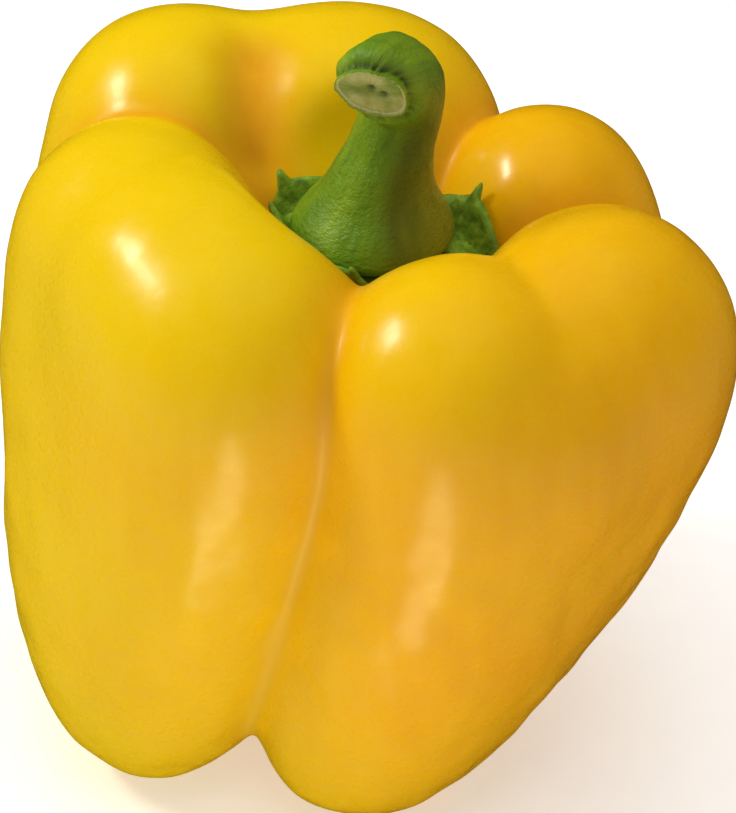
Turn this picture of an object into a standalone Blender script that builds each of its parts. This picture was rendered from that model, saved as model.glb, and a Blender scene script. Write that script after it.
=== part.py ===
"""Bell pepper: a blocky yellow fruit of four chambers, its calyx and its stem.

The fruit is a smooth union of lobes. Each lobe is a chain of spheres that runs from
the shoulder beside the stem down to a foot, and neighbouring lobes meet in a crease.
Lengths in the tables are millimetres, and the Blender objects are in metres. +Z is up,
the fruit stands on its feet at z = 0, and the side with the long front crease faces -Y.
"""
import math

import bmesh
import bpy
import numpy as np
from mathutils import Vector

MM = 0.001

# Where the table's own origin lies in the part's frame, mm
ORIGIN_X = 2.0
ORIGIN_Y = -0.5
# Height in the table that becomes z = 0: the feet are flattened there, mm
RESTS_AT = 0.9

# Centre x, y, z and radius of each lobe's shoulder, waist, belly and foot, mm.
# Lobes listed together belong to one chamber of the fruit. The pair in front of them is
# the width of the soft creases between them, at the shoulder and low down, mm.
LOCULES = {
    "left": ((2.0, 3.0), {
        "outer": [(-28.0, 1.0, 69.4, 14.0), (-28.6, -0.5, 55.0, 15.6),
                  (-27.4, -5.0, 36.0, 15.8), (-24.5, -7.0, 18.0, 12.4)],
        "middle": [(-21.4, -11.8, 69.2, 15.2), (-24.0, -8.8, 51.0, 15.8),
                   (-25.6, -10.0, 32.0, 15.6), (-25.8, -11.5, 15.0, 11.0)],
        "inner": [(-15.6, -19.6, 65.6, 16.6), (-19.8, -16.6, 47.0, 17.6),
                  (-24.0, -15.0, 28.0, 16.4), (-27.2, -15.5, 11.8, 10.3)],
    }),
    "front": ((0.9, 3.0), {
        "inner": [(10.0, -26.0, 65.8, 15.5), (9.4, -24.0, 47.0, 16.6),
                  (4.6, -21.5, 30.0, 16.2), (-0.8, -21.2, 13.2, 12.9)],
        "middle": [(18.0, -25.0, 61.8, 15.0), (16.4, -18.8, 48.0, 15.4),
                   (11.2, -15.7, 31.0, 15.2), (5.5, -14.0, 13.4, 12.2)],
        "outer": [(27.0, -17.3, 66.3, 16.0), (23.2, -13.0, 49.0, 16.3),
                  (17.1, -9.5, 32.0, 15.0), (10.6, -6.5, 13.5, 12.2)],
    }),
    "right": ((2.0, 5.0), {
        "only": [(21.7, 11.3, 66.3, 13.0), (23.0, 10.0, 50.0, 14.0),
                 (19.0, 9.0, 32.0, 13.5), (12.0, 8.0, 13.5, 12.5)],
    }),
    "back": ((2.2, 3.0), {
        "right": [(0.2, 25.2, 67.8, 16.5), (0.0, 23.0, 50.0, 16.8),
                  (-1.0, 19.0, 32.0, 15.8), (-3.0, 14.0, 14.0, 12.8)],
        "middle": [(-7.0, 25.4, 68.0, 16.0), (-10.0, 22.0, 50.0, 15.6),
                   (-12.0, 17.0, 32.0, 15.4), (-11.0, 13.0, 14.0, 12.4)],
        "left": [(-23.4, 24.0, 69.0, 16.8), (-28.0, 17.0, 50.0, 17.0),
                 (-28.6, 12.0, 32.0, 17.6), (-20.0, 11.0, 13.5, 12.8)],
    }),
}
# Flesh that fills the middle, from under the stem down, mm
CORE = [(0.0, 0.0, 46.0, 24.0), (-6.0, -1.0, 27.0, 18.0)]
# Hollow at the top that the calyx and the stem's bulb sit in: centre and radius, mm
BOWL = (1.0, -1.0, 82.8, 16.0)

SPHERES_PER_LOBE = 13
CHAIN_BLEND = 0.8
# Width of the creases between chambers, mm
CREASE = 1.0
BOWL_BLEND = 1.2

# Ring inside the flesh, radius and height, from which the skin is measured, mm
RING_RADIUS = 21.0
RING_HEIGHT = 45.0
SKIN_AROUND = 84
SKIN_ALONG = 40

# Calyx: gap to the skin, thickness, and reach along the skin from the stem's centre, mm
CALYX_CENTRE = (1.0, -1.0)
CALYX_GAP = 0.5
CALYX_THICK = 0.9
CALYX_AROUND = 72
CALYX_RINGS = 7
TOOTH_HALF_WIDTH = math.radians(4.0)
# Direction of each corner of the calyx, its reach and the length of the tooth on it, degrees and mm
CALYX_CORNERS = [
    (0.0, 15.4, 0.0), (25.0, 15.6, 1.2), (80.0, 13.9, 0.8), (140.0, 16.0, 1.4),
    (170.0, 15.6, 0.0), (215.0, 14.2, 0.8), (255.0, 14.0, 0.8), (320.0, 14.2, 0.8),
]

# Centre x, y, z and radius along the stem, from its foot to its cut end, mm
STEM = [
    (0.6, -1.0, 69.7, 4.6), (0.6, -1.0, 71.2, 8.0), (0.6, -1.0, 72.4, 9.5), (0.6, -1.0, 73.4, 9.2),
    (0.7, -1.0, 74.8, 8.4), (1.0, -1.0, 76.6, 7.4), (1.4, -1.0, 78.5, 6.5), (2.0, -1.0, 80.6, 5.8),
    (2.8, -1.0, 83.2, 5.2), (3.7, -1.0, 86.8, 4.8), (4.1, -1.6, 90.1, 4.8), (3.4, -3.7, 93.4, 5.2),
    (2.1, -6.2, 95.1, 5.1), (0.8, -8.2, 95.5, 4.8), (-0.2, -9.8, 95.3, 4.3), (-1.2, -12.0, 94.8, 4.0),
]
STEM_STEPS = 2
# Point on the cut face, the direction it faces, and the height that the cut stays above
CUT_POINT = (-0.2, -9.3, 94.9)
CUT_FACES = (-0.23, -0.91, -0.35)
CUT_ABOVE = 88.0

def clear_scene():
    for old in list(bpy.data.objects):
        bpy.data.objects.remove(old, do_unlink=True)


def in_frame(points):
    """Table millimetres to metres in the part's frame."""
    return (np.asarray(points, float) + (ORIGIN_X, ORIGIN_Y, -RESTS_AT)) * MM


def lobe_chain(keys):
    """Spheres along a smooth line through a lobe's key spheres."""
    keys = np.array(keys, float)
    at_keys = np.linspace(0.0, 1.0, len(keys))
    along = np.linspace(0.0, 1.0, SPHERES_PER_LOBE)
    columns = [np.polyval(np.polyfit(at_keys, keys[:, i], len(keys) - 1), along) for i in range(4)]
    return np.stack(columns, axis=-1)


def blend(distances, width):
    """Smooth minimum of several distances."""
    nearest = distances.min(axis=0)
    return nearest - width * np.log(np.exp(-(distances - nearest) / width).sum(axis=0))


def chain_distance(points, chain):
    gaps = [np.linalg.norm(points - ball[:3], axis=-1) - ball[3] for ball in chain]
    return blend(np.stack(gaps), CHAIN_BLEND)


LOBES = [(soft, [lobe_chain(keys) for keys in lobes.values()]) for soft, lobes in LOCULES.values()]
CORE_CHAIN = np.linspace(CORE[0], CORE[1], 5)


def crease_width(height, top, low):
    share = np.clip((height - 30.0) / 45.0, 0.0, 1.0)
    return low + (top - low) * share


def skin_distance(points):
    """Distance from each point to the fruit's skin, negative inside, mm."""
    height = points[..., 2]
    chambers = [chain_distance(points, CORE_CHAIN)]
    for soft, chains in LOBES:
        lobes = np.stack([chain_distance(points, chain) for chain in chains])
        chambers.append(blend(lobes, crease_width(height, *soft)))
    solid = blend(np.stack(chambers), CREASE)
    bowl = BOWL[3] - np.linalg.norm(points - np.array(BOWL[:3]), axis=-1)
    return -blend(np.stack([-solid, -bowl]), BOWL_BLEND)


def height_on_axis(direction):
    """Height where the skin crosses the central axis, above or below the ring."""
    inside, outside = RING_HEIGHT, RING_HEIGHT + 60.0 * direction
    for _ in range(40):
        middle = 0.5 * (inside + outside)
        if skin_distance(np.array([[0.0, 0.0, middle]]))[0] < 0.0:
            inside = middle
        else:
            outside = middle
    return 0.5 * (inside + outside)


def skin_points(azimuth, share):
    """Points on the skin: share 0 is the hollow under the stem, 1 the hollow underneath."""
    first = math.atan2(height_on_axis(1) - RING_HEIGHT, -RING_RADIUS)
    last = math.atan2(height_on_axis(-1) - RING_HEIGHT, -RING_RADIUS)
    if last > 0.0:
        last -= 2.0 * math.pi
    angle = first + (last - first) * share
    out = np.stack([np.cos(azimuth), np.sin(azimuth), np.zeros_like(azimuth)], axis=-1)
    up = np.array([0.0, 0.0, 1.0])
    start = out * RING_RADIUS + up * RING_HEIGHT
    ray = out * np.cos(angle)[:, None] + up * np.sin(angle)[:, None]
    inward = np.maximum(-np.cos(angle), 1e-9)
    reach = np.minimum(np.where(np.cos(angle) < 0.0, RING_RADIUS / inward, 60.0), 60.0)
    for _ in range(30):
        reach = np.maximum(reach - np.maximum(skin_distance(start + ray * reach[:, None]), 0.0), 0.0)
    return start + ray * reach[:, None]


def drop_onto_skin(x, y, gap):
    """Height of the surface a given gap above the skin, at each x and y in the hollow."""
    points = np.stack([x, y, np.full_like(x, 92.0)], axis=-1)
    for _ in range(60):
        points[..., 2] -= 0.8 * (skin_distance(points) - gap)
    return points[..., 2]


def calyx_reach(azimuth):
    """How far the calyx runs from its centre in each direction: straight sides, small points."""
    wrapped = np.array(CALYX_CORNERS[-1:] + CALYX_CORNERS + CALYX_CORNERS[:1])
    angles = np.radians(wrapped[:, 0])
    angles[0] -= 2.0 * math.pi
    angles[-1] += 2.0 * math.pi
    reaches = wrapped[:, 1]
    teeth = wrapped[:, 2]
    azimuth = np.mod(azimuth - angles[1], 2.0 * math.pi) + angles[1]
    side = np.clip(np.searchsorted(angles, azimuth, side="right") - 1, 0, len(angles) - 2)
    start, end = angles[side], angles[side + 1]
    near, far = reaches[side], reaches[side + 1]
    straight = near * far * np.sin(end - start)
    straight /= near * np.sin(azimuth - start) + far * np.sin(end - azimuth)
    for corner, tooth in ((start, teeth[side]), (end, teeth[side + 1])):
        straight += tooth * np.exp(-((azimuth - corner) / TOOTH_HALF_WIDTH) ** 2)
    return straight


def calyx_points(azimuth, share, gap):
    """Points of the calyx's underside, laid along the skin from the centre outwards."""
    points = np.zeros((len(azimuth), 3))
    steps = np.linspace(0.0, 18.0, 73)
    for direction in np.unique(azimuth):
        x = CALYX_CENTRE[0] + steps * math.cos(direction)
        y = CALYX_CENTRE[1] + steps * math.sin(direction)
        z = drop_onto_skin(x, y, gap)
        length = np.concatenate([[0.0], np.cumsum(np.hypot(np.diff(steps), np.diff(z)))])
        here = azimuth == direction
        wanted = share[here] * calyx_reach(np.array([direction]))[0]
        run = np.interp(wanted, length, steps)
        points[here, 0] = CALYX_CENTRE[0] + run * math.cos(direction)
        points[here, 1] = CALYX_CENTRE[1] + run * math.sin(direction)
        points[here, 2] = np.interp(run, steps, z)
    return points


def stem_points():
    """Points and radii along the stem, on a smooth line through its stations."""
    stations = np.array(STEM)
    padded = np.concatenate([2 * stations[:1] - stations[1:2], stations, 2 * stations[-1:] - stations[-2:-1]])
    points = []
    for i in range(len(stations) - 1):
        before, here, there, after = padded[i:i + 4]
        for step in range(STEM_STEPS):
            t = step / STEM_STEPS
            bend = (2 * before - 5 * here + 4 * there - after) * t + (3 * here - before - 3 * there + after) * t * t
            points.append(here + 0.5 * t * (there - before + bend))
    points.append(stations[-1])
    return np.array(points)


def new_object(name, mesh, collection):
    piece = bpy.data.objects.new(name, mesh)
    collection.objects.link(piece)
    return piece


def give_material(piece, name, colour, roughness):
    material = bpy.data.materials.new(name)
    material.use_nodes = True
    shader = material.node_tree.nodes["Principled BSDF"]
    shader.inputs["Base Color"].default_value = (*colour, 1.0)
    shader.inputs["Roughness"].default_value = roughness
    shader.inputs["Metallic"].default_value = 0.0
    piece.data.materials.append(material)


def make_fruit(collection):
    """A UV sphere whose points are moved out to the skin."""
    shape = bmesh.new()
    bmesh.ops.create_uvsphere(shape, u_segments=SKIN_AROUND, v_segments=SKIN_ALONG, radius=1.0)
    ball = np.array([point.co for point in shape.verts])
    azimuth = np.arctan2(ball[:, 1], ball[:, 0])
    share = np.arccos(np.clip(ball[:, 2], -1.0, 1.0)) / math.pi
    skin = skin_points(azimuth, share)
    skin[:, 2] = np.maximum(skin[:, 2], RESTS_AT)
    for point, place in zip(shape.verts, in_frame(skin)):
        point.co = place
    bmesh.ops.recalc_face_normals(shape, faces=shape.faces)
    mesh = bpy.data.meshes.new("fruit")
    shape.to_mesh(mesh)
    shape.free()
    mesh.shade_smooth()
    return new_object("fruit", mesh, collection)


def make_calyx(collection):
    """Half a UV sphere laid into the hollow as a disc with corners, then given thickness."""
    shape = bmesh.new()
    bmesh.ops.create_uvsphere(shape, u_segments=CALYX_AROUND, v_segments=2 * CALYX_RINGS, radius=1.0)
    below = [point for point in shape.verts if point.co.z < -1e-4]
    bmesh.ops.delete(shape, geom=below, context="VERTS")
    ball = np.array([point.co for point in shape.verts])
    azimuth = np.round(np.arctan2(ball[:, 1], ball[:, 0]), 5)
    share = np.arccos(np.clip(ball[:, 2], 0.0, 1.0)) / (0.5 * math.pi)
    for point, place in zip(shape.verts, in_frame(calyx_points(azimuth, share, CALYX_GAP))):
        point.co = place
    mesh = bpy.data.meshes.new("calyx")
    shape.to_mesh(mesh)
    shape.free()
    mesh.shade_smooth()
    mesh.set_sharp_from_angle(angle=math.radians(50.0))
    calyx = new_object("calyx", mesh, collection)
    thickness = calyx.modifiers.new("thickness", "SOLIDIFY")
    thickness.thickness = CALYX_THICK * MM
    thickness.offset = 1.0
    return calyx


def make_stem(collection):
    """A tapering tube along the stem's line, cut off slantwise at its end."""
    path = bpy.data.curves.new("stem_line", "CURVE")
    path.dimensions = "3D"
    path.bevel_depth = MM
    path.bevel_resolution = 6
    path.use_fill_caps = True
    points = stem_points()
    line = path.splines.new("POLY")
    line.points.add(len(points) - 1)
    for point, place, radius in zip(line.points, in_frame(points[:, :3]), points[:, 3]):
        point.co = (*place, 1.0)
        point.radius = radius
    guide = bpy.data.objects.new("stem_line", path)
    collection.objects.link(guide)
    bpy.context.view_layer.update()
    tube = bpy.data.meshes.new_from_object(guide.evaluated_get(bpy.context.evaluated_depsgraph_get()))
    bpy.data.objects.remove(guide, do_unlink=True)
    shape = bmesh.new()
    shape.from_mesh(tube)
    bmesh.ops.remove_doubles(shape, verts=shape.verts, dist=1e-6)
    lowest = in_frame((0.0, 0.0, CUT_ABOVE))[2]
    head = [point for point in shape.verts if point.co.z > lowest]
    head += [edge for edge in shape.edges if min(point.co.z for point in edge.verts) > lowest]
    head += [face for face in shape.faces if min(point.co.z for point in face.verts) > lowest]
    bmesh.ops.bisect_plane(
        shape, geom=head, dist=1e-6,
        plane_co=Vector(in_frame(CUT_POINT)), plane_no=Vector(CUT_FACES), clear_outer=True)
    bmesh.ops.holes_fill(shape, edges=[edge for edge in shape.edges if edge.is_boundary])
    bmesh.ops.recalc_face_normals(shape, faces=shape.faces)
    shape.to_mesh(tube)
    shape.free()
    tube.name = "stem"
    tube.shade_smooth()
    tube.set_sharp_from_angle(angle=math.radians(45.0))
    return new_object("stem", tube, collection)


clear_scene()
pepper = bpy.data.collections.new("bell_pepper")
bpy.context.scene.collection.children.link(pepper)
give_material(make_fruit(pepper), "yellow waxy skin", (0.90, 0.55, 0.02), 0.25)
give_material(make_calyx(pepper), "dark green calyx", (0.06, 0.15, 0.02), 0.50)
give_material(make_stem(pepper), "green stem", (0.15, 0.28, 0.04), 0.40)
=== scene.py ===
"""A yellow bell pepper on a pale studio floor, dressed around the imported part.

The fruit's skin is made again from the same lobes as the part, finely enough for its
creases and small dents. The calyx and the stem are made again with their points, folds,
fibres and cut end. Tables are in millimetres, and everything in the scene is in metres.
"""
import math

import bmesh
import bpy
import numpy as np
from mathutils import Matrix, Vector, noise


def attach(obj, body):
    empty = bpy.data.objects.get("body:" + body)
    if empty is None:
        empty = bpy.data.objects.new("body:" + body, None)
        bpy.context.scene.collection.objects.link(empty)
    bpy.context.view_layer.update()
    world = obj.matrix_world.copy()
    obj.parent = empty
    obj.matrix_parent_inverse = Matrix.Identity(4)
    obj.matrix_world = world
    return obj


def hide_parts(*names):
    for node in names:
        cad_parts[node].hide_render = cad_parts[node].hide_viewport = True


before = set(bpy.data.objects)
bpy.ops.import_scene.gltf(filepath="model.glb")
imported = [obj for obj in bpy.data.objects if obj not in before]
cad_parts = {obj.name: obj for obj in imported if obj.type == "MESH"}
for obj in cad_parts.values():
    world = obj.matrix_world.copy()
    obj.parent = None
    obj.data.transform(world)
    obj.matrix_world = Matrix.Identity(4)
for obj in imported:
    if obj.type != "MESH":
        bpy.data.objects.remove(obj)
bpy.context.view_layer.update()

MM = 0.001

# Where the table's own origin lies in the part's frame, and the height the feet are flattened at, mm
ORIGIN = np.array([2.0, -0.5, -0.9])
RESTS_AT = 0.9

# Centre x, y, z and radius of each lobe's shoulder, waist, belly and foot, mm.
# Lobes listed together belong to one chamber of the fruit. The pair in front of them is
# the width of the soft creases between them, at the shoulder and low down, mm.
LOCULES = {
    "left": ((2.0, 3.0), {
        "outer": [(-28.0, 1.0, 69.4, 14.0), (-28.6, -0.5, 55.0, 15.6),
                  (-27.4, -5.0, 36.0, 15.8), (-24.5, -7.0, 18.0, 12.4)],
        "middle": [(-21.4, -11.8, 69.2, 15.2), (-24.0, -8.8, 51.0, 15.8),
                   (-25.6, -10.0, 32.0, 15.6), (-25.8, -11.5, 15.0, 11.0)],
        "inner": [(-15.6, -19.6, 65.6, 16.6), (-19.8, -16.6, 47.0, 17.6),
                  (-24.0, -15.0, 28.0, 16.4), (-27.2, -15.5, 11.8, 10.3)],
    }),
    "front": ((0.9, 3.0), {
        "inner": [(10.0, -26.0, 65.8, 15.5), (9.4, -24.0, 47.0, 16.6),
                  (4.6, -21.5, 30.0, 16.2), (-0.8, -21.2, 13.2, 12.9)],
        "middle": [(18.0, -25.0, 61.8, 15.0), (16.4, -18.8, 48.0, 15.4),
                   (11.2, -15.7, 31.0, 15.2), (5.5, -14.0, 13.4, 12.2)],
        "outer": [(27.0, -17.3, 66.3, 16.0), (23.2, -13.0, 49.0, 16.3),
                  (17.1, -9.5, 32.0, 15.0), (10.6, -6.5, 13.5, 12.2)],
    }),
    "right": ((2.0, 5.0), {
        "only": [(21.7, 11.3, 66.3, 13.0), (23.0, 10.0, 50.0, 14.0),
                 (19.0, 9.0, 32.0, 13.5), (12.0, 8.0, 13.5, 12.5)],
    }),
    "back": ((2.2, 3.0), {
        "right": [(0.2, 25.2, 67.8, 16.5), (0.0, 23.0, 50.0, 16.8),
                  (-1.0, 19.0, 32.0, 15.8), (-3.0, 14.0, 14.0, 12.8)],
        "middle": [(-7.0, 25.4, 68.0, 16.0), (-10.0, 22.0, 50.0, 15.6),
                   (-12.0, 17.0, 32.0, 15.4), (-11.0, 13.0, 14.0, 12.4)],
        "left": [(-23.4, 24.0, 69.0, 16.8), (-28.0, 17.0, 50.0, 17.0),
                 (-28.6, 12.0, 32.0, 17.6), (-20.0, 11.0, 13.5, 12.8)],
    }),
}
# The first and last of the spheres that fill the fruit's middle, and the sphere taken away on top for
# the hollow, mm
CORE = [(0.0, 0.0, 46.0, 24.0), (-6.0, -1.0, 27.0, 18.0)]
BOWL = (1.0, -1.0, 82.8, 16.0)
SPHERES_PER_LOBE = 13
SPHERES_IN_CORE = 5
# Width of the blends along a chain, between the chambers and around the hollow, mm
CHAIN_BLEND = 0.8
CREASE = 1.0
BOWL_BLEND = 1.2
# The heights between which a chamber's soft creases change from their low to their shoulder width, mm
SOFT_CREASE_HEIGHTS = (30.0, 75.0)
# How far a crease's painted orange shade spreads, mm
CREASE_SPREAD = 2.6
# The skin is looked for inwards along lines that end on this ring inside the fruit, mm
RING_RADIUS = 21.0
RING_HEIGHT = 45.0
SKIN_AROUND = 384
SKIN_ALONG = 240

# Dents in the skin: width of one dent across and down, and its depth, mm
DENTS = [(13.0, 20.0, 0.24), (6.0, 7.0, 0.36), (3.8, 4.4, 0.14)]
# The shoulders are smoother than the walls below them: the heights where that starts and ends, mm, and
# the share of a dent that is left on the shoulders
SMOOTH_FROM, SMOOTH_TO = 46.0, 64.0
SHOULDER_DENT_SHARE = 0.30
# The share of a dent that is lost in a crease
CREASE_DENT_LOSS = 0.6

# The valley between the back chamber's halves: its place and width across, its depth, where along it
# the depth starts, is full, starts to fade and is gone, and the heights where it starts and is full, mm
VALLEY_X = -13.8
VALLEY_WIDTH = 4.6
VALLEY_DEPTH = 1.8
VALLEY_RUN = (5.0, 10.0, 18.0, 27.0)
VALLEY_HEIGHTS = (66.0, 74.0)

# The calyx: its middle, the gap under it, its thickness in the middle and at the edge, and the height
# of the ribs that run out to its corners, mm
CALYX_CENTRE = (1.0, -1.0)
CALYX_GAP = 0.30
CALYX_THICK = 1.5
CALYX_EDGE = 0.60
CALYX_RIB = 0.25
CALYX_AROUND = 360
CALYX_RINGS = 30
# The skin under the calyx is found as far out as this, in this many steps, from this height down, mm
CALYX_REACH = 17.0
CALYX_STEPS = 52
DROP_HEIGHT = 92.0
# How far the calyx's edge strays from its straight sides, and the width and height of its lumps, mm
CALYX_RAGGED = 0.35
CALYX_LUMP_WIDTH = 1.6
CALYX_LUMP_HEIGHT = 0.10
TOOTH_HALF_WIDTH = math.radians(2.0)
# Length of a tooth whose point would count as wholly dried, mm
DRIED_TOOTH_LENGTH = 2.4
# Each corner of the calyx: direction in degrees, reach, length of its tooth and how far the tooth
# stands off, mm
CALYX_CORNERS = [
    (0.0, 16.3, 0.0, 0.0), (10.0, 16.5, 0.0, 0.0), (21.0, 16.6, 1.2, 0.3), (80.0, 14.3, 0.9, 0.3),
    (140.0, 16.9, 1.3, 0.3), (170.0, 16.3, 0.0, 0.0), (215.0, 14.6, 0.9, 0.2), (255.0, 14.6, 0.9, 0.2),
    (320.0, 14.6, 0.9, 0.2),
]

# Centre x, y, z and radius along the stem, from its foot to its cut end, mm
STEM = [
    (0.6, -1.0, 69.7, 4.6), (0.6, -1.0, 70.4, 8.6), (0.6, -1.0, 71.5, 9.8), (0.6, -1.0, 72.9, 9.6),
    (0.7, -1.0, 74.6, 8.7), (1.0, -1.0, 76.6, 7.4), (1.4, -1.0, 78.5, 6.5), (2.0, -1.0, 80.6, 5.8),
    (2.8, -1.0, 83.2, 5.2), (3.7, -1.0, 86.8, 4.8), (4.1, -1.6, 90.1, 4.8), (3.4, -3.7, 93.4, 5.2),
    (2.1, -6.2, 95.1, 5.1), (0.8, -8.2, 95.5, 4.8), (-0.2, -9.8, 95.3, 4.3), (-1.2, -12.0, 94.8, 4.0),
]
STEM_AROUND = 200
STEM_ALONG = 230
# Shares of the sphere's way from pole to pole where the stem's foot ends and where its side ends at the cut
STEM_FOOT_SHARE = 0.05
STEM_SIDE_SHARE = 0.76
# Points along the centre line, and the first of them where the cut is looked for
STEM_SAMPLES = 600
CUT_SEARCH_FROM = 350
# The stem is measured level below the first height and across its own direction above the second, mm
LEVEL_UNTIL, ACROSS_FROM = 78.0, 90.0
# A point of the cut's plane, and the direction the cut faces
CUT_POINT = np.array([-0.2, -9.3, 94.9])
CUT_FACES = np.array([-0.23, -0.91, -0.35]) / np.linalg.norm([-0.23, -0.91, -0.35])
# Small hollows in the cut pith: place along and across the face, radius and depth, mm
CUT_PITS = [(0.1, 0.5, 0.42, 0.60), (1.5, -0.5, 0.50, 0.55), (-1.7, -0.1, 0.90, 0.12)]
# The radius of the tube that the bark's patterns are laid on, mm
BARK_RADIUS = 5.0
# The bark's unevenness: its width around the stem, its length along it and its height, mm
LEATHER = [(1.1, 1.3, 0.07), (0.6, 0.7, 0.03)]
LUMP = (3.2, 4.5, 0.22)
# Height of the bark's fibres, mm, and how many go in a mm: around the stem twice, then along it
STRAND_HEIGHT = 0.03
STRAND_FINENESS = (2.4, 2.4, 0.35)
# Ridges along the stem: how many, their height as a share of the radius, their turn at the foot in
# radians and their further turn in radians per mm
RIDGES = 5.0
RIDGE_SHARE = 0.022
RIDGE_TURN = 0.8
RIDGE_TWIST = 0.035
# The bark draws in towards the cut by this share of its radius, over this length, mm
RIM_TAPER = 0.14
RIM_TAPER_LENGTH = 1.3
# Behind the cut lie a groove, a raised brow, wrinkles and painted shade along the groove: distance from the
# cut and half width of each, mm
GROOVE_PLACE, GROOVE_WIDTH = 0.9, 0.42
BROW_PLACE, BROW_WIDTH = 2.2, 1.0
WRINKLE_PLACE, WRINKLE_WIDTH = 2.0, 1.3
GROOVE_SHADE_PLACE, GROOVE_SHADE_WIDTH = 0.85, 0.38

# Camera: aim in the part's frame, tilt, distance, and focal length and offset in the photograph's pixels
AIM = Vector((2.0, -0.5, 41.1)) * MM
LOOKS_DOWN = math.radians(36.0)
DISTANCE = 0.420
FOCAL_PIXELS = 3360.0
FRAME_PIXELS = 813.0
AIM_BELOW_CENTRE = 16.5


# Form of the fruit

def in_frame(points):
    """Table millimetres to metres in the part's frame."""
    return (np.asarray(points, float) + ORIGIN) * MM


def lobe_chain(keys):
    """Spheres along a smooth line through a lobe's key spheres."""
    keys = np.array(keys, float)
    at_keys = np.linspace(0.0, 1.0, len(keys))
    along = np.linspace(0.0, 1.0, SPHERES_PER_LOBE)
    columns = [np.polyval(np.polyfit(at_keys, keys[:, i], len(keys) - 1), along) for i in range(4)]
    return np.stack(columns, axis=-1)


def blend(distances, width):
    """Smooth minimum of several distances."""
    nearest = distances.min(axis=0)
    return nearest - width * np.log(np.exp(-(distances - nearest) / width).sum(axis=0))


def smooth_step(low, high, value):
    """0 below the low value, 1 above the high one, and a smooth rise between them."""
    share = np.clip((value - low) / (high - low), 0.0, 1.0)
    return share * share * (3.0 - 2.0 * share)


def chain_distance(points, chain):
    """Distance from each point to the surface of a blended chain of spheres."""
    squares = (points ** 2).sum(axis=-1) + (chain[:, :3] ** 2).sum(axis=-1)[:, None]
    squares -= 2.0 * chain[:, :3] @ points.T
    return blend(np.sqrt(np.maximum(squares, 0.0)) - chain[:, 3:4], CHAIN_BLEND)


LOBES = [(soft, [lobe_chain(keys) for keys in lobes.values()]) for soft, lobes in LOCULES.values()]
CORE_CHAIN = np.linspace(CORE[0], CORE[1], SPHERES_IN_CORE)


def crease_width(height, top, low):
    """Width of the soft creases within a chamber at each height."""
    start, end = SOFT_CREASE_HEIGHTS
    share = np.clip((height - start) / (end - start), 0.0, 1.0)
    return low + (top - low) * share


def skin_distance(points):
    """Distance from each point to the fruit's skin, negative inside, mm."""
    height = points[:, 2]
    chambers = [chain_distance(points, CORE_CHAIN)]
    for soft, chains in LOBES:
        lobes = np.stack([chain_distance(points, chain) for chain in chains])
        chambers.append(blend(lobes, crease_width(height, *soft)))
    solid = blend(np.stack(chambers), CREASE)
    bowl = BOWL[3] - np.linalg.norm(points - np.array(BOWL[:3]), axis=-1)
    return -blend(np.stack([-solid, -bowl]), BOWL_BLEND)


def skin_normals(points):
    """Outward direction of the skin at each point."""
    steps = np.eye(3) * 0.05
    changes = [skin_distance(points + step) - skin_distance(points - step) for step in steps]
    slope = np.stack(changes, axis=-1)
    return slope / np.linalg.norm(slope, axis=-1, keepdims=True)


def crease_nearness(points):
    """1 in a crease between two chambers, falling to 0 on a chamber's back."""
    chambers = [np.min([chain_distance(points, chain) for chain in chains], axis=0) for _, chains in LOBES]
    nearest = np.sort(np.stack(chambers), axis=0)
    return np.exp(-(nearest[1] - nearest[0]) / CREASE_SPREAD)


def valley_share(points):
    """1 in the middle of the back chamber's valley above the hollow, 0 away from it."""
    start, full, fade, gone = VALLEY_RUN
    along = smooth_step(start, full, points[:, 1]) * (1.0 - smooth_step(fade, gone, points[:, 1]))
    across = np.exp(-((points[:, 0] - VALLEY_X) / VALLEY_WIDTH) ** 2)
    return across * along * smooth_step(*VALLEY_HEIGHTS, points[:, 2])


def height_on_axis(direction):
    """Height where the skin crosses the central axis, above or below the ring."""
    inside, outside = RING_HEIGHT, RING_HEIGHT + 60.0 * direction
    for _ in range(40):
        middle = 0.5 * (inside + outside)
        if skin_distance(np.array([[0.0, 0.0, middle]]))[0] < 0.0:
            inside = middle
        else:
            outside = middle
    return 0.5 * (inside + outside)


def skin_points(azimuth, share):
    """Points on the skin: share 0 is the hollow under the stem, 1 the hollow underneath."""
    first = math.atan2(height_on_axis(1) - RING_HEIGHT, -RING_RADIUS)
    last = math.atan2(height_on_axis(-1) - RING_HEIGHT, -RING_RADIUS)
    if last > 0.0:
        last -= 2.0 * math.pi
    angle = first + (last - first) * share
    out = np.stack([np.cos(azimuth), np.sin(azimuth), np.zeros_like(azimuth)], axis=-1)
    up = np.array([0.0, 0.0, 1.0])
    start = out * RING_RADIUS + up * RING_HEIGHT
    ray = out * np.cos(angle)[:, None] + up * np.sin(angle)[:, None]
    inward = np.maximum(-np.cos(angle), 1e-9)
    reach = np.minimum(np.where(np.cos(angle) < 0.0, RING_RADIUS / inward, 60.0), 60.0)
    for _ in range(24):
        reach = np.maximum(reach - np.maximum(skin_distance(start + ray * reach[:, None]), 0.0), 0.0)
    return start + ray * reach[:, None]


def unevenness(points, across, down):
    """Smooth noise between -1 and 1 at each point, with features of the given size in mm."""
    scale = np.array([1.0 / across, 1.0 / across, 1.0 / down])
    return np.array([noise.noise(Vector(place)) for place in points * scale])


# Form of the calyx

def drop_onto_skin(points, gap):
    """Lowers each point until it is a given gap above the skin in the hollow."""
    points = points.copy()
    for _ in range(50):
        points[:, 2] -= 0.85 * (skin_distance(points) - gap)
    return points


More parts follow.
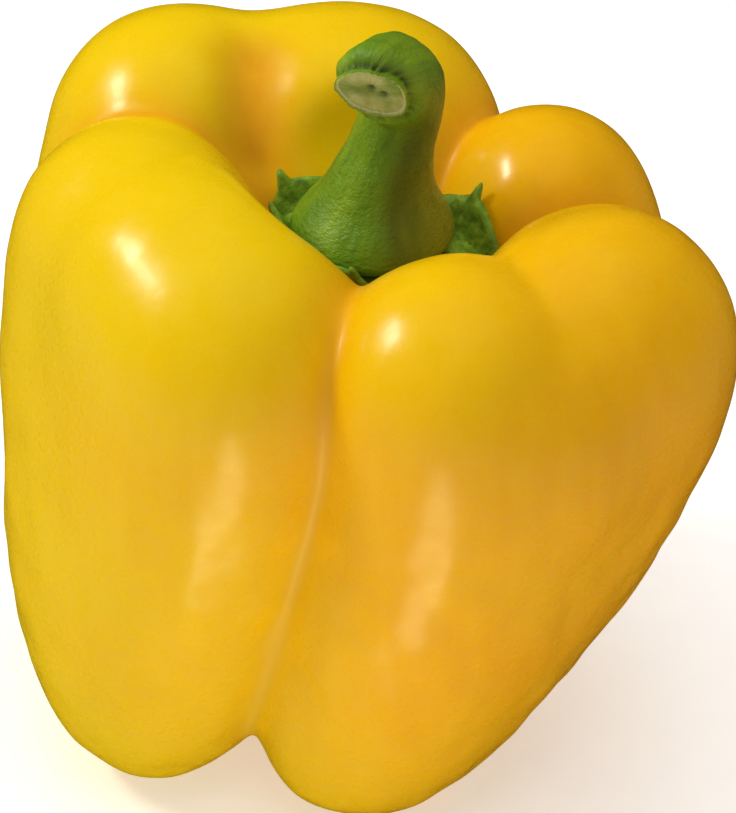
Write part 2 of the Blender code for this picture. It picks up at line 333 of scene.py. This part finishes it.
def calyx_outline(azimuth):
    """Reach of the calyx, length and lift of a tooth, and nearness of a rib, in each direction."""
    table = np.array(sorted(CALYX_CORNERS))
    wrapped = np.concatenate([table[-1:], table, table[:1]])
    angles = np.radians(wrapped[:, 0])
    angles[0] -= 2.0 * math.pi
    angles[-1] += 2.0 * math.pi
    azimuth = np.mod(azimuth - angles[1], 2.0 * math.pi) + angles[1]
    side = np.clip(np.searchsorted(angles, azimuth, side="right") - 1, 0, len(angles) - 2)
    start, end = angles[side], angles[side + 1]
    near, far = wrapped[side, 1], wrapped[side + 1, 1]
    reach = near * far * np.sin(end - start)
    reach /= near * np.sin(azimuth - start) + far * np.sin(end - azimuth)
    nearer = np.where(azimuth - start < end - azimuth, side, side + 1)
    away = np.minimum(azimuth - start, end - azimuth)
    point = np.exp(-(away / TOOTH_HALF_WIDTH) ** 4)
    rib = np.exp(-(away / (2.2 * TOOTH_HALF_WIDTH)) ** 2)
    return reach, point * wrapped[nearer, 2], point * wrapped[nearer, 3], rib


def calyx_surface(azimuth, polar):
    """Upper and lower sheet of the calyx: polar 0 is the top's middle, 180 degrees the underside's."""
    directions, line = np.unique(np.round(azimuth, 5), return_inverse=True)
    steps = np.linspace(0.0, CALYX_REACH, CALYX_STEPS)
    run_x = CALYX_CENTRE[0] + np.outer(np.cos(directions), steps)
    run_y = CALYX_CENTRE[1] + np.outer(np.sin(directions), steps)
    drop = np.stack([run_x.ravel(), run_y.ravel(), np.full(run_x.size, DROP_HEIGHT)], axis=-1)
    height = drop_onto_skin(drop, CALYX_GAP)[:, 2].reshape(run_x.shape)
    slope = np.hypot(np.diff(steps), np.diff(height, axis=1))
    length = np.concatenate([np.zeros((len(directions), 1)), np.cumsum(slope, axis=1)], axis=1)
    reach, point, lift, rib = calyx_outline(directions)
    ragged = np.array([noise.noise(Vector((4.0 * math.cos(a), 4.0 * math.sin(a), 7.0)))
                       for a in directions])
    reach = reach + CALYX_RAGGED * ragged + point
    share = 1.0 - np.abs(1.0 - polar / (0.5 * math.pi))
    wanted = share * reach[line]
    points = np.zeros((len(azimuth), 3))
    for i, direction in enumerate(directions):
        here = line == i
        run = np.interp(wanted[here], length[i], steps)
        points[here, 0] = CALYX_CENTRE[0] + run * math.cos(direction)
        points[here, 1] = CALYX_CENTRE[1] + run * math.sin(direction)
        points[here, 2] = np.interp(run, steps, height[i])
    off = skin_normals(points)
    thick = CALYX_EDGE + (CALYX_THICK - CALYX_EDGE) * (1.0 - share ** 3)
    thick = thick + CALYX_RIB * rib[line] * share * (1.0 - share ** 6)
    upper = polar < 0.5 * math.pi - 1e-4
    edge = np.abs(polar - 0.5 * math.pi) < 1e-4
    rise = np.where(upper, thick, np.where(edge, 0.5 * thick, 0.0))
    lumps = CALYX_LUMP_HEIGHT * unevenness(points, CALYX_LUMP_WIDTH, CALYX_LUMP_WIDTH)
    rise = rise + np.where(upper, lumps, 0.0)
    # The outer quarter stands off the skin, most of all its teeth
    standing = np.clip((share - 0.72) / 0.28, 0.0, 1.0) ** 2
    points = points + off * rise[:, None]
    points[:, 2] += standing * 1.2 * lift[line]
    points += off * (standing * (0.6 + 0.8 * lift[line]))[:, None]
    return points, share, standing * point[line] / DRIED_TOOTH_LENGTH


# Form of the stem

def stem_line(samples):
    """Dense points, radii and cross directions along the stem's centre line."""
    stations = np.array(STEM)
    before_first = 2 * stations[:1] - stations[1:2]
    after_last = 2 * stations[-1:] - stations[-2:-1]
    padded = np.concatenate([before_first, stations, after_last])
    at = np.linspace(0.0, len(stations) - 1 - 1e-9, samples)
    i = at.astype(int)
    t = (at - i)[:, None]
    before, here, there, after = padded[i], padded[i + 1], padded[i + 2], padded[i + 3]
    bend = (2 * before - 5 * here + 4 * there - after) * t + (3 * here - before - 3 * there + after) * t * t
    line = here + 0.5 * t * (there - before + bend)
    heading = np.gradient(line[:, :3], axis=0)
    heading /= np.linalg.norm(heading, axis=-1, keepdims=True)
    # The bulb is measured level, and only the neck and the head across their own direction
    tilted = smooth_step(LEVEL_UNTIL, ACROSS_FROM, line[:, 2:3])
    heading = heading * tilted + np.array([0.0, 0.0, 1.0]) * (1.0 - tilted)
    heading /= np.linalg.norm(heading, axis=-1, keepdims=True)
    right = np.zeros_like(heading)
    right[0] = (1.0, 0.0, 0.0)
    for k in range(1, samples):
        turned = right[k - 1] - heading[k] * (right[k - 1] @ heading[k])
        right[k] = turned / np.linalg.norm(turned)
    return line[:, :3], line[:, 3], right, np.cross(heading, right)


def stem_surface(azimuth, share):
    """Foot, side and cut face of the stem, with what the materials need to know."""
    centre, radius, right, across = stem_line(STEM_SAMPLES)
    travelled = np.concatenate([[0.0], np.cumsum(np.linalg.norm(np.diff(centre, axis=0), axis=-1))])
    directions, line = np.unique(np.round(azimuth, 5), return_inverse=True)
    cos, sin = np.cos(directions), np.sin(directions)
    out = cos[:, None, None] * right + sin[:, None, None] * across
    walls = centre + radius[:, None] * out
    beyond = (walls - CUT_POINT) @ CUT_FACES > 0.0
    beyond[:, :CUT_SEARCH_FROM] = False
    last = np.argmax(beyond, axis=1)
    rim = walls[np.arange(len(directions)), last]
    middle = rim.mean(axis=0)

    points = np.zeros((len(azimuth), 3))
    fibre = np.zeros((len(azimuth), 3))
    flesh = np.zeros(len(azimuth))
    ring = np.zeros(len(azimuth))
    pit_shade = np.zeros(len(azimuth))

    along = np.clip((share - STEM_FOOT_SHARE) / (STEM_SIDE_SHARE - STEM_FOOT_SHARE), 0.0, 1.0)
    sample = along * last[line]
    low = np.minimum(sample.astype(int), len(centre) - 2)
    part = (sample - low)[:, None]
    centres = centre[low] * (1 - part) + centre[low + 1] * part
    outs = out[line, low] * (1 - part) + out[line, low + 1] * part
    radii = radius[low] * (1 - part[:, 0]) + radius[low + 1] * part[:, 0]
    spread = np.clip(share / STEM_FOOT_SHARE, 0.0, 1.0)
    distance = np.interp(sample, np.arange(len(travelled)), travelled)
    to_rim = travelled[last[line]] - distance

    c, s = np.cos(azimuth), np.sin(azimuth)
    fibre[:, 0] = BARK_RADIUS * c
    fibre[:, 1] = BARK_RADIUS * s
    fibre[:, 2] = distance
    twist = azimuth + RIDGE_TWIST * distance
    ridges = RIDGE_SHARE * radii * np.cos(RIDGES * twist + RIDGE_TURN) * smooth_step(6.0, 12.0, distance)
    strands = STRAND_HEIGHT * unevenness(fibre * STRAND_FINENESS, 1.0, 1.0)
    leather = sum(height * unevenness(fibre, around, down) for around, down, height in LEATHER)
    lumps = LUMP[2] * unevenness(fibre, LUMP[0], LUMP[1])
    # 1 on the stem's upper side and 0 on its underside
    topside = 0.5 + 0.5 * (outs @ np.array([0.35, 0.0, 0.94]))
    pucker = np.array([noise.noise(Vector((7.0 * a, 7.0 * b, 3.0))) for a, b in zip(c, s)])
    groove = -(0.10 + 0.40 * topside + 0.35 * pucker)
    groove = groove * np.exp(-((to_rim - GROOVE_PLACE) / GROOVE_WIDTH) ** 2)
    brow = 0.50 * topside * np.exp(-((to_rim - BROW_PLACE) / BROW_WIDTH) ** 2)
    wrinkles = 0.10 * pucker * topside * np.exp(-((to_rim - WRINKLE_PLACE) / WRINKLE_WIDTH) ** 2)
    taper = -RIM_TAPER * radii * np.exp(-(to_rim / RIM_TAPER_LENGTH) ** 2)
    swell = ridges + strands + leather + lumps + groove + brow + wrinkles + taper
    swell = swell * smooth_step(0.0, 1.5, distance)
    side = share <= STEM_SIDE_SHARE + 1e-6
    walls_at = centres + outs * (radii * spread + swell)[:, None]
    points[side] = walls_at[side]

    inner = np.clip(1.0 - (share - STEM_SIDE_SHARE) / (1.0 - STEM_SIDE_SHARE), 0.0, 1.0)
    rim_at = rim[line] + outs * swell[:, None]
    flat = middle + (rim_at - middle) * inner[:, None]
    sideways = np.cross(CUT_FACES, (0.0, 0.0, 1.0))
    sideways /= -np.linalg.norm(sideways)
    upwards = np.cross(CUT_FACES, sideways)
    upwards *= np.sign(upwards[2])
    place = flat - middle
    u, v = place @ sideways, place @ upwards
    # The pith has shrunk below the bark's rim, with a ring of vessels just inside it and a swelling midway
    depth = -0.42 * (1.0 - smooth_step(0.92, 0.985, inner))
    depth += 0.18 * np.exp(-((inner - 0.91) / 0.030) ** 2)
    depth += 0.10 * np.exp(-((inner - 0.45) / 0.20) ** 2)
    for pit_u, pit_v, pit_radius, pit_depth in CUT_PITS:
        hollow = np.exp(-((u - pit_u) ** 2 + (v - pit_v) ** 2) / pit_radius ** 2)
        depth -= pit_depth * hollow
        # The deeper a hollow, the darker its painted shade
        pit_shade = np.maximum(pit_shade, hollow * min(1.0, 2.0 * pit_depth))
    depth += 0.05 * unevenness(flat, 0.9, 0.9) * (1.0 - inner ** 8)
    depth += 0.22 * pucker * smooth_step(0.90, 1.0, inner)
    face = ~side
    points[face] = (flat + CUT_FACES * depth[:, None])[face]
    flesh[face] = (1.0 - smooth_step(0.955, 0.99, inner))[face]
    ring[face] = np.exp(-((inner - 0.92) / 0.032) ** 2)[face]
    pit_shade[side] = 0.0
    # Painted shade in the groove behind the cut, more on the stem's upper side and in its puckers
    dark = np.clip(0.35 + 0.9 * topside + 1.2 * pucker, 0.0, 1.3) - 0.3
    near_groove = np.exp(-((to_rim - GROOVE_SHADE_PLACE) / GROOVE_SHADE_WIDTH) ** 2)
    groove_shade = np.where(side, near_groove * np.clip(dark, 0.0, 1.0), 0.0)
    return points, fibre, flesh, ring, pit_shade, groove_shade


# Making the pieces

def new_piece(name, surface, around, along, floor=None):
    """A UV sphere whose points are moved by surface(azimuth, polar).

    The values that surface returns beside the points are kept on the mesh as attributes.
    """
    shape = bmesh.new()
    bmesh.ops.create_uvsphere(shape, u_segments=around, v_segments=along, radius=1.0)
    ball = np.array([point.co for point in shape.verts])
    azimuth = np.arctan2(ball[:, 1], ball[:, 0])
    azimuth[np.hypot(ball[:, 0], ball[:, 1]) < 1e-6] = 0.0
    polar = np.arccos(np.clip(ball[:, 2], -1.0, 1.0))
    points, values = surface(azimuth, polar)
    if floor is not None:
        points[:, 2] = np.maximum(points[:, 2], floor)
    for point, place in zip(shape.verts, in_frame(points)):
        point.co = place
    bmesh.ops.recalc_face_normals(shape, faces=shape.faces)
    mesh = bpy.data.meshes.new(name)
    shape.to_mesh(mesh)
    shape.free()
    mesh.shade_smooth()
    for key, value in values.items():
        flat = value.astype(np.float32).ravel()
        if value.ndim == 2:
            mesh.attributes.new(key, "FLOAT_VECTOR", "POINT").data.foreach_set("vector", flat)
        else:
            mesh.attributes.new(key, "FLOAT", "POINT").data.foreach_set("value", flat)
    piece = bpy.data.objects.new(name, mesh)
    bpy.context.collection.objects.link(piece)
    return piece


def fruit_form(azimuth, polar):
    """The skin with its dents and the deeper valley, and the nearness of a crease."""
    points = skin_points(azimuth, polar / math.pi)
    valley = valley_share(points)
    # The crease share also places orange painted shade on the skin, in the creases and the back valley
    crease = np.maximum(crease_nearness(points), valley)
    off = skin_normals(points)
    dent = sum(depth * unevenness(points, across, down) for across, down, depth in DENTS)
    walls = 1.0 - (1.0 - SHOULDER_DENT_SHARE) * smooth_step(SMOOTH_FROM, SMOOTH_TO, points[:, 2])
    moved = dent * walls * (1.0 - CREASE_DENT_LOSS * crease) - VALLEY_DEPTH * valley
    return points + off * moved[:, None], {"crease": crease}


def calyx_form(azimuth, polar):
    """The calyx, with the share of the way out to its edge and the nearness of a tooth's end."""
    points, share, tip = calyx_surface(azimuth, polar)
    return points, {"outward": share, "tip": tip}


def stem_form(azimuth, polar):
    """The stem, with where its fibres run, where its flesh and ring are, and where its pits and the groove
    behind its cut get painted shade.
    """
    points, fibre, flesh, ring, pit_shade, groove_shade = stem_surface(azimuth, polar / math.pi)
    return points, {"fibre": fibre, "flesh": flesh, "ring": ring, "pit_shade": pit_shade, "groove_shade": groove_shade}


# Materials

def colour(code):
    """sRGB hex to the linear colour a shader takes."""
    parts = [int(code[i:i + 2], 16) / 255.0 for i in (1, 3, 5)]
    return (*[c / 12.92 if c <= 0.04045 else ((c + 0.055) / 1.055) ** 2.4 for c in parts], 1.0)


def add(tree, kind, sockets=(), **settings):
    """Adds a node, sets its settings, and fills its sockets with values or links."""
    made = tree.nodes.new(kind)
    for key, value in settings.items():
        setattr(made, key, value)
    for key, value in dict(sockets).items():
        if isinstance(value, bpy.types.NodeSocket):
            tree.links.new(value, made.inputs[key])
        else:
            made.inputs[key].default_value = value
    return made


def new_material(name):
    """A material, its node tree and its shader."""
    material = bpy.data.materials.new(name)
    material.use_nodes = True
    return material, material.node_tree, material.node_tree.nodes["Principled BSDF"]


def ramp(tree, factor, stops):
    """A colour ramp with stops of (position, hex)."""
    made = add(tree, "ShaderNodeValToRGB", {"Fac": factor})
    band = made.color_ramp
    for element, (position, code) in zip(band.elements, (stops[0], stops[-1])):
        element.position = position
        element.color = colour(code)
    for position, code in stops[1:-1]:
        band.elements.new(position).color = colour(code)
    return made.outputs["Color"]


def mixed(tree, factor, first, second, how="MIX"):
    """One colour over another: 6 and 7 are the colour sockets of a Mix node."""
    made = add(tree, "ShaderNodeMix", data_type="RGBA", blend_type=how)
    for socket, value in ((0, factor), (6, first), (7, second)):
        if isinstance(value, bpy.types.NodeSocket):
            tree.links.new(value, made.inputs[socket])
        else:
            made.inputs[socket].default_value = value
    return made.outputs[2]


def waxy_skin():
    """Ripe pepper skin: translucent yellow flesh under a glossy natural wax, with orange painted shade in
    the creases and on the shaded right side.
    """
    material, tree, shader = new_material("ripe pepper skin, waxy")
    place = add(tree, "ShaderNodeTexCoord").outputs["Object"]
    along = add(tree, "ShaderNodeSeparateXYZ", {"Vector": place})
    # Painted light and shade: lemon yellow on the lit left and on top of the shoulders, orange yellow on
    # the shaded right. The lemon yellow low down and the 30 mm patches are uneven ripening
    broad = add(tree, "ShaderNodeTexNoise",
                {"Vector": place, "Scale": 32.0, "Detail": 2.0, "Roughness": 0.5})
    patch = add(tree, "ShaderNodeMapRange",
                {"Value": broad.outputs["Fac"], "To Min": -0.25, "To Max": 0.35})
    across = add(tree, "ShaderNodeMapRange",
                 {"Value": along.outputs["X"], "From Min": -0.045, "From Max": 0.042})
    low = add(tree, "ShaderNodeMapRange",
              {"Value": along.outputs["Z"], "From Min": 0.004, "From Max": 0.032,
               "To Min": -0.30, "To Max": 0.0})
    high = add(tree, "ShaderNodeMapRange",
               {"Value": along.outputs["Z"], "From Min": 0.060, "From Max": 0.084,
                "To Min": 0.0, "To Max": -0.42})
    ends = add(tree, "ShaderNodeMath",
               {0: low.outputs["Result"], 1: high.outputs["Result"]}, operation="ADD")
    ripe = add(tree, "ShaderNodeMath",
               {0: across.outputs["Result"], 1: patch.outputs["Result"]}, operation="ADD")
    ripeness_and_shade = add(tree, "ShaderNodeMath", {0: ripe.outputs[0], 1: ends.outputs[0]}, operation="ADD")
    yellow = ramp(tree, ripeness_and_shade.outputs[0],
                  [(0.0, "#EFC800"), (0.35, "#F1BE00"), (0.65, "#EFB000"), (1.0, "#EAA000")])
    crease = add(tree, "ShaderNodeAttribute", attribute_name="crease").outputs["Fac"]
    # Painted shade: the creases are orange among the shoulders and hardly so on the walls
    deep = add(tree, "ShaderNodeMapRange",
               {"Value": along.outputs["Z"], "From Min": 0.050, "From Max": 0.076,
                "To Min": 0.10, "To Max": 0.65})
    orange = add(tree, "ShaderNodeMath", {0: deep.outputs["Result"], 1: crease}, operation="MULTIPLY")
    crease_shaded = mixed(tree, orange.outputs[0], yellow, colour("#DE8400"))
    # Faint streaks down the lobes, about 3 mm wide and 20 mm long
    long_way = add(tree, "ShaderNodeMapping", {"Vector": place, "Scale": (1.0, 1.0, 0.15)})
    streak = add(tree, "ShaderNodeTexNoise",
                 {"Vector": long_way.outputs["Vector"], "Scale": 330.0, "Detail": 3.0})
    faint = add(tree, "ShaderNodeMapRange",
                {"Value": streak.outputs["Fac"], "From Min": 0.35, "From Max": 0.7,
                 "To Min": 0.0, "To Max": 0.14})
    streaked = mixed(tree, faint.outputs["Result"], crease_shaded, colour("#FFD21E"))
    tree.links.new(streaked, shader.inputs["Base Color"])
    # A faint orange peel about 2.4 mm from bump to bump, and a finer grain at 0.7 mm
    peel = add(tree, "ShaderNodeTexNoise",
               {"Vector": place, "Scale": 420.0, "Detail": 2.0, "Roughness": 0.55})
    grain = add(tree, "ShaderNodeTexNoise", {"Vector": place, "Scale": 1500.0, "Detail": 1.0})
    soft = add(tree, "ShaderNodeBump",
               {"Height": peel.outputs["Fac"], "Strength": 0.16, "Distance": 0.00020})
    fine = add(tree, "ShaderNodeBump",
               {"Height": grain.outputs["Fac"], "Strength": 0.08, "Distance": 0.00005,
                "Normal": soft.outputs["Normal"]})
    tree.links.new(fine.outputs["Normal"], shader.inputs["Normal"])
    tree.links.new(fine.outputs["Normal"], shader.inputs["Coat Normal"])
    rough = add(tree, "ShaderNodeMapRange",
                {"Value": peel.outputs["Fac"], "From Min": 0.3, "From Max": 0.7,
                 "To Min": 0.23, "To Max": 0.33})
    # The wax is thin in the creases, which stay dull
    dull = add(tree, "ShaderNodeMapRange",
               {"Value": crease, "From Min": 0.4, "From Max": 0.9, "To Min": 0.0, "To Max": 0.25})
    wax = add(tree, "ShaderNodeMath",
              {0: rough.outputs["Result"], 1: dull.outputs["Result"]}, operation="ADD")
    tree.links.new(wax.outputs[0], shader.inputs["Roughness"])
    shader.inputs["Subsurface Weight"].default_value = 0.12
    shader.inputs["Subsurface Radius"].default_value = (1.0, 0.70, 0.05)
    shader.inputs["Subsurface Scale"].default_value = 0.002
    shader.inputs["IOR"].default_value = 1.45
    shader.inputs["Specular IOR Level"].default_value = 0.40
    shader.inputs["Coat Weight"].default_value = 0.12
    shader.inputs["Coat Roughness"].default_value = 0.15
    shader.inputs["Coat IOR"].default_value = 1.45
    return material


def calyx_skin():
    """Fresh calyx: leathery green, mottled, more even at its edge, brown at its longest points."""
    material, tree, shader = new_material("pepper calyx, leathery green")
    place = add(tree, "ShaderNodeTexCoord").outputs["Object"]
    # Mottling about 1.5 mm across
    mottle = add(tree, "ShaderNodeTexNoise",
                 {"Vector": place, "Scale": 650.0, "Detail": 4.0, "Roughness": 0.6})
    green = ramp(tree, mottle.outputs["Fac"], [(0.32, "#52681C"), (0.50, "#6E9020"), (0.68, "#8CAC30")])
    outward = add(tree, "ShaderNodeAttribute", attribute_name="outward").outputs["Fac"]
    edge = add(tree, "ShaderNodeMapRange",
               {"Value": outward, "From Min": 0.93, "From Max": 1.0, "To Min": 0.0, "To Max": 0.25})
    edged = mixed(tree, edge.outputs["Result"], green, colour("#6B9636"))
    tip = add(tree, "ShaderNodeAttribute", attribute_name="tip").outputs["Fac"]
    dried = add(tree, "ShaderNodeMapRange",
                {"Value": tip, "From Min": 0.45, "From Max": 0.9, "To Min": 0.0, "To Max": 0.85})
    tipped = mixed(tree, dried.outputs["Result"], edged, colour("#3A2E14"))
    tree.links.new(tipped, shader.inputs["Base Color"])
    bumps = add(tree, "ShaderNodeBump",
                {"Height": mottle.outputs["Fac"], "Strength": 0.7, "Distance": 0.0004})
    tree.links.new(bumps.outputs["Normal"], shader.inputs["Normal"])
    shader.inputs["Roughness"].default_value = 0.48
    shader.inputs["IOR"].default_value = 1.45
    shader.inputs["Subsurface Weight"].default_value = 0.08
    shader.inputs["Subsurface Radius"].default_value = (0.5, 1.0, 0.2)
    shader.inputs["Subsurface Scale"].default_value = 0.001
    return material


def stem_skin():
    """Fresh stem: satin green bark with fine fibres, cut to show pale wet pith inside a light ring."""
    material, tree, shader = new_material("pepper stem, green bark and pale pith")
    fibre = add(tree, "ShaderNodeAttribute", attribute_name="fibre").outputs["Vector"]
    # Patches of shade about 5 mm across, drawn out along the stem
    stretch = add(tree, "ShaderNodeMapping", {"Vector": fibre, "Scale": (1.0, 1.0, 0.30)})
    patch = add(tree, "ShaderNodeTexNoise",
                {"Vector": stretch.outputs["Vector"], "Scale": 0.22, "Detail": 3.0, "Roughness": 0.55})
    bark = ramp(tree, patch.outputs["Fac"], [(0.34, "#5E8A18"), (0.50, "#76A01A"), (0.66, "#8CB220")])
    # Painted shade on the flank turned from the light, from its middle to the far side, ending in a painted
    # yellow reflection of the fruit at the far edge, and less of both at the head
    around = add(tree, "ShaderNodeSeparateXYZ", {"Vector": fibre})
    sway = add(tree, "ShaderNodeMapRange",
               {"Value": patch.outputs["Fac"], "From Min": 0.3, "From Max": 0.7,
                "To Min": -1.6, "To Max": 1.6})
    turned = add(tree, "ShaderNodeMath",
                 {0: around.outputs["X"], 1: sway.outputs["Result"]}, operation="ADD")
    flank = add(tree, "ShaderNodeMapRange",
                {"Value": turned.outputs[0], "From Min": -1.6, "From Max": 2.0,
                 "To Min": 0.0, "To Max": 0.85})
    far_side = add(tree, "ShaderNodeMapRange",
                   {"Value": turned.outputs[0], "From Min": 0.0, "From Max": 5.0})
    shade_and_reflection = ramp(tree, far_side.outputs["Result"], [(0.0, "#4C6416"), (0.5, "#545A14"), (1.0, "#827E14")])
    head = add(tree, "ShaderNodeMapRange",
               {"Value": around.outputs["Z"], "From Min": 19.0, "From Max": 27.0,
                "To Min": 1.0, "To Max": 0.4})
    side_shade = add(tree, "ShaderNodeMath",
              {0: flank.outputs["Result"], 1: head.outputs["Result"]}, operation="MULTIPLY")
    side_shaded = mixed(tree, side_shade.outputs[0], bark, shade_and_reflection)
    # Fibres about 0.4 mm wide along the stem
    threads = add(tree, "ShaderNodeMapping", {"Vector": fibre, "Scale": (1.0, 1.0, 0.08)})
    strand = add(tree, "ShaderNodeTexNoise",
                 {"Vector": threads.outputs["Vector"], "Scale": 2.2, "Detail": 3.0, "Roughness": 0.6})
    shade = add(tree, "ShaderNodeMapRange",
                {"Value": strand.outputs["Fac"], "From Min": 0.35, "From Max": 0.65,
                 "To Min": 0.0, "To Max": 0.22})
    fibrous = mixed(tree, shade.outputs["Result"], side_shaded, colour("#4A6A18"))
    # Painted shade in the groove behind the cut
    groove_shade = add(tree, "ShaderNodeAttribute", attribute_name="groove_shade").outputs["Fac"]
    in_groove_shade = add(tree, "ShaderNodeMath", {0: groove_shade, 1: 0.7}, operation="MULTIPLY")
    groove_shaded = mixed(tree, in_groove_shade.outputs[0], fibrous, colour("#18260A"))
    # Pith: pale and wet, greener towards one side, with a light ring of vessels
    place = add(tree, "ShaderNodeTexCoord").outputs["Object"]
    cloud = add(tree, "ShaderNodeTexNoise", {"Vector": place, "Scale": 420.0, "Detail": 3.0})
    pith = ramp(tree, cloud.outputs["Fac"], [(0.34, "#7F9A45"), (0.52, "#A3AE66"), (0.70, "#BFC386")])
    # Painted shade in the small hollows of the pith
    pit_shade = add(tree, "ShaderNodeAttribute", attribute_name="pit_shade").outputs["Fac"]
    hollow = mixed(tree, pit_shade, pith, colour("#56702C"))
    ring = add(tree, "ShaderNodeAttribute", attribute_name="ring").outputs["Fac"]
    ringed = mixed(tree, ring, hollow, colour("#CFD08E"))
    flesh = add(tree, "ShaderNodeAttribute", attribute_name="flesh").outputs["Fac"]
    tree.links.new(mixed(tree, flesh, groove_shaded, ringed), shader.inputs["Base Color"])
    # Leathery grain about 0.5 mm across
    pores = add(tree, "ShaderNodeTexNoise",
                {"Vector": fibre, "Scale": 2.0, "Detail": 3.0, "Roughness": 0.6})
    deep = add(tree, "ShaderNodeBump",
               {"Height": strand.outputs["Fac"], "Strength": 0.3, "Distance": 0.0002})
    fine = add(tree, "ShaderNodeBump",
               {"Height": pores.outputs["Fac"], "Strength": 0.7, "Distance": 0.0004,
                "Normal": deep.outputs["Normal"]})
    tree.links.new(fine.outputs["Normal"], shader.inputs["Normal"])
    shader.inputs["Roughness"].default_value = 0.40
    shader.inputs["IOR"].default_value = 1.45
    shader.inputs["Subsurface Weight"].default_value = 0.10
    shader.inputs["Subsurface Radius"].default_value = (0.6, 1.0, 0.2)
    shader.inputs["Subsurface Scale"].default_value = 0.0015
    return material


def studio_floor():
    """Seamless white studio paper, matt, with a faint fibre."""
    material, tree, shader = new_material("studio paper, matt white")
    place = add(tree, "ShaderNodeTexCoord").outputs["Object"]
    fibre = add(tree, "ShaderNodeTexNoise", {"Vector": place, "Scale": 260.0, "Detail": 4.0})
    paper = ramp(tree, fibre.outputs["Fac"], [(0.3, "#EFEFED"), (0.7, "#F3F3F1")])
    tree.links.new(paper, shader.inputs["Base Color"])
    shader.inputs["Roughness"].default_value = 0.85
    # Stands for the light thrown back by the rest of a white studio
    shader.inputs["Emission Color"].default_value = colour("#FFFFFF")
    shader.inputs["Emission Strength"].default_value = 0.38
    return material


fruit = new_piece("fruit_skin", fruit_form, SKIN_AROUND, SKIN_ALONG, floor=RESTS_AT)
calyx = new_piece("calyx_leaf", calyx_form, CALYX_AROUND, 2 * CALYX_RINGS)
stem = new_piece("stem_bark", stem_form, STEM_AROUND, STEM_ALONG)
for piece, node, slot, material in (
        (fruit, "fruit", "skin", waxy_skin()),
        (calyx, "calyx", "calyx", calyx_skin()),
        (stem, "stem", "stem", stem_skin())):
    piece.data.materials.append(material)
    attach(piece, "root")
    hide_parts(node)


# Studio

def studio_light(name, place, aim, width, height, power, tint="#FFFFFF", mirrored=True):
    """A rectangular soft light, unseen itself, that the wax mirrors or not."""
    lamp = bpy.data.lights.new(name, "AREA")
    lamp.shape = "RECTANGLE"
    lamp.size, lamp.size_y = width, height
    lamp.energy = power
    lamp.color = colour(tint)[:3]
    holder = bpy.data.objects.new(name, lamp)
    holder.location = place
    holder.rotation_euler = (Vector(aim) - Vector(place)).to_track_quat("-Z", "Y").to_euler()
    holder.visible_camera = False
    holder.visible_glossy = mirrored
    bpy.context.collection.objects.link(holder)


bpy.ops.mesh.primitive_plane_add(size=6.0, location=(0.0, 0.0, 0.0))
floor = bpy.context.object
floor.name = "studio_floor"
floor.data.materials.append(studio_floor())

studio_light("key softbox", (-0.50, 0.07, 0.52), (0.0, 0.0, 0.06), 0.18, 0.12, 2.0, tint="#FFFAEA")
studio_light("overhead softbox", (0.02, 0.02, 0.80), (0.0, 0.0, 0.05), 0.70, 0.70, 3.2, mirrored=False)
# Shines straight up in front of the feet, as light thrown back by the paper would
studio_light("low front strip", (-0.012, -0.118, 0.002), (-0.012, -0.118, 1.0), 0.022, 0.100, 0.032,
             tint="#FFF0B4")

world = bpy.data.worlds.new("pale studio room")
world.use_nodes = True
sky = world.node_tree.nodes["Background"]
sky.inputs["Color"].default_value = colour("#FFFFFF")
sky.inputs["Strength"].default_value = 0.33
world.cycles_visibility.glossy = False
floor.visible_glossy = False
bpy.context.scene.world = world
bpy.context.scene.view_settings.view_transform = "Standard"

lens = bpy.data.cameras.new("photo camera")
lens.sensor_width = 36.0
lens.lens = FOCAL_PIXELS * lens.sensor_width / FRAME_PIXELS
lens.shift_y = AIM_BELOW_CENTRE / FRAME_PIXELS
lens.clip_start, lens.clip_end = 0.01, 20.0
camera = bpy.data.objects.new("photo camera", lens)
camera.location = AIM + DISTANCE * Vector((0.0, -math.cos(LOOKS_DOWN), math.sin(LOOKS_DOWN)))
camera.rotation_euler = (AIM - camera.location).to_track_quat("-Z", "Y").to_euler()
bpy.context.collection.objects.link(camera)
bpy.context.scene.camera = camera
